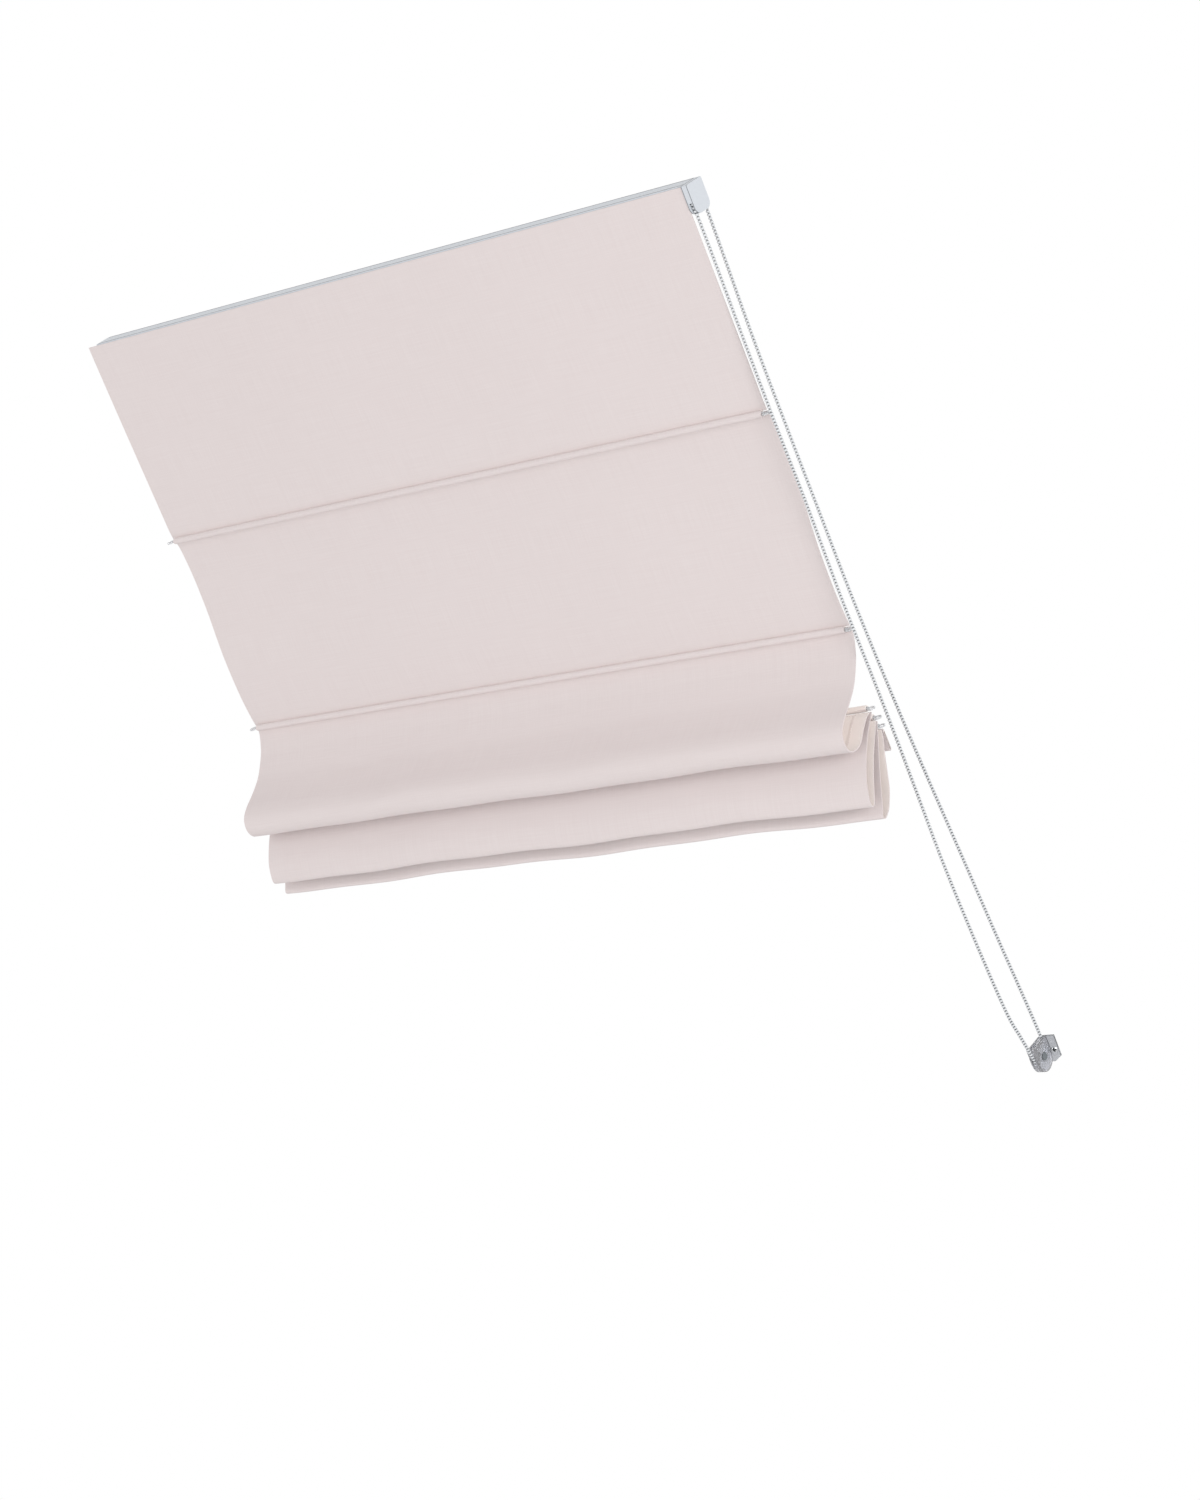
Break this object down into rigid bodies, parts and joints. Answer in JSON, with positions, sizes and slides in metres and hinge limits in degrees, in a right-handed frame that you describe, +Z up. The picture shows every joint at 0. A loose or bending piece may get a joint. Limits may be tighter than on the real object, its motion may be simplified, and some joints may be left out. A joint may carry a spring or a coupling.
{
  "type": "skylight window blind",
  "caption": "Roman blind for a pitched roof window: cloth on cross rods below a headrail, raised by lift cords and a bead chain drive, with a chain tensioner on the lining.",
  "frame": {"origin": "middle of the centre bracket's back face, on the window lining's front plane", "axes": "+X along the headrail towards the chain, +Z up, +Y level towards the roof; the blind leans 35 degrees from upright about X, as a roof window of 55 degrees pitch"},
  "size_m": [0.8934, 0.6057, 0.847],
  "materials": {
    "aluminium": "satin pale grey-blue coat",
    "white_plastic": "satin",
    "dark_plastic": "satin",
    "clear_plastic": "clear, slightly grey",
    "steel": "zinc plated",
    "hook_strip": "nap",
    "cloth": "plain woven, pale warm grey",
    "cord": "braided, white",
    "bead_chain": "white to clear beads on a cord",
    "fibreglass": "pultruded rod"
  },
  "bodies": {
    "headrail_assembly": {"headrail": "aluminium", "hook_strip": "hook_strip", "end_cap_left": "white_plastic", "bracket_left": "steel", "bracket_centre": "steel", "bracket_right": "steel", "drive_housing": "white_plastic", "drive_cover": "white_plastic", "spool_cradle_left": "white_plastic", "spool_cradle_right": "white_plastic", "chain_run": "bead_chain", "chain_top_turn": "bead_chain", "tensioner_body": "clear_plastic", "tensioner_pin": "dark_plastic", "tensioner_screw": "steel", "lift_cord_left": "cord", "lift_cord_right": "cord", "panel_1": "cloth"},
    "drive": {"drive_shaft": "steel", "chain_wheel": "dark_plastic", "clutch_spring": "steel", "spool_left": "white_plastic", "spool_right": "white_plastic", "wound_cord_left": "cord", "wound_cord_right": "cord"},
    "tensioner_pulley": {"tensioner_pulley": "white_plastic"},
    "rod_1": {"rod_1": "fibreglass", "rod_pocket_1": "cloth", "end_ring_1_left": "clear_plastic", "end_ring_1_right": "clear_plastic", "panel_2": "cloth"},
    "rod_2": {"rod_2": "fibreglass", "rod_pocket_2": "cloth", "end_ring_2_left": "clear_plastic", "end_ring_2_right": "clear_plastic", "panel_3": "cloth"},
    "rod_3": {"rod_3": "fibreglass", "rod_pocket_3": "cloth", "end_ring_3_left": "clear_plastic", "end_ring_3_right": "clear_plastic", "panel_4": "cloth"},
    "rod_4": {"rod_4": "fibreglass", "rod_pocket_4": "cloth", "end_ring_4_left": "clear_plastic", "end_ring_4_right": "clear_plastic", "panel_5": "cloth"},
    "rod_5": {"rod_5": "fibreglass", "rod_pocket_5": "cloth", "end_ring_5_left": "clear_plastic", "end_ring_5_right": "clear_plastic", "hem_sleeve": "cloth", "bottom_bar": "aluminium", "cord_lock_left": "white_plastic", "cord_lock_right": "white_plastic"}
  },
  "joints": [
    {"name": "drive_turn", "type": "hinge", "parent": "headrail_assembly", "child": "drive", "pos_m": [0, -0.01323, -0.00987], "axis": [-1, 0, 0], "range_deg": [-558, 1258], "deforming": ["chain_run", "chain_top_turn", "lift_cord_left", "lift_cord_right"]},
    {"name": "tensioner_pulley_turn", "type": "hinge", "parent": "headrail_assembly", "child": "tensioner_pulley", "pos_m": [0.4495, 0.5517, -0.81982], "axis": [-1, 0, 0], "range_deg": [-437, 985]},
    {"name": "rod_1_slide", "type": "slide", "parent": "headrail_assembly", "child": "rod_1", "axis": [0, 0.5736, -0.8192], "range_m": [-0.192, 0], "deforming": ["panel_1"]},
    {"name": "rod_2_slide", "type": "slide", "parent": "rod_1", "child": "rod_2", "axis": [0, 0.5736, -0.8192], "range_m": [-0.23, 0], "deforming": ["panel_2"]},
    {"name": "stack_slide", "type": "slide", "parent": "rod_2", "child": "rod_3", "axis": [0, 0.5736, -0.8192], "range_m": [-0.07, 0.158], "deforming": ["panel_3"]},
    {"name": "rod_4_slide", "type": "slide", "parent": "rod_3", "child": "rod_4", "axis": [0, 0.5736, -0.8192], "range_m": [0, 0.228], "deforming": ["panel_4"]},
    {"name": "rod_5_slide", "type": "slide", "parent": "rod_4", "child": "rod_5", "axis": [0, 0.5736, -0.8192], "range_m": [0, 0.231], "deforming": ["panel_5"]}
  ],
  "couplings": [
    {"joint": "drive_turn", "follows": "stack_slide", "rad_per_m": 138.89},
    {"joint": "tensioner_pulley_turn", "follows": "stack_slide", "rad_per_m": 108.7}
  ]
}
